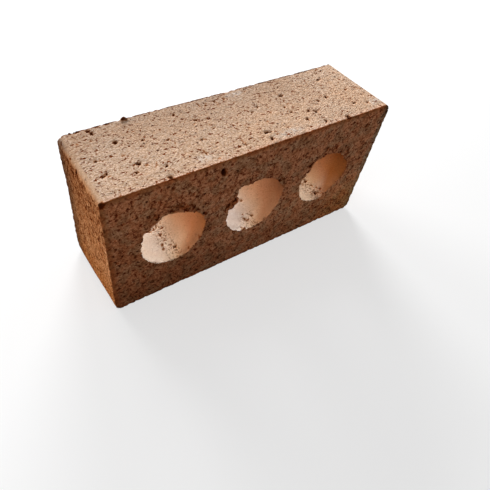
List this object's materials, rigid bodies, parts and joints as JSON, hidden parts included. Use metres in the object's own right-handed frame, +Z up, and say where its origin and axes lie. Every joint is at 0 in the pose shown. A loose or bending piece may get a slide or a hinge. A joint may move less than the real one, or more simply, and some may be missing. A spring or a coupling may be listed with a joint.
{
  "type": "clay brick",
  "caption": "Extruded, wire-cut brick of fired clay with a row of round cores through it and die-rounded arrises, laid in mortar as facing brickwork.",
  "frame": {"origin": "middle of the lower stretcher, the long side face that the brick stands on", "axes": "+X along the brick from header to header, +Y along the cores from the front bed to the back bed, +Z up across the bed"},
  "size_m": [0.19, 0.057, 0.09],
  "materials": {
    "fired_clay": "matt fired clay, torn and pitted on the drawn faces, granular on the wire-cut beds"
  },
  "bodies": {
    "root": {"clay_brick": "fired_clay"}
  },
  "joints": []
}
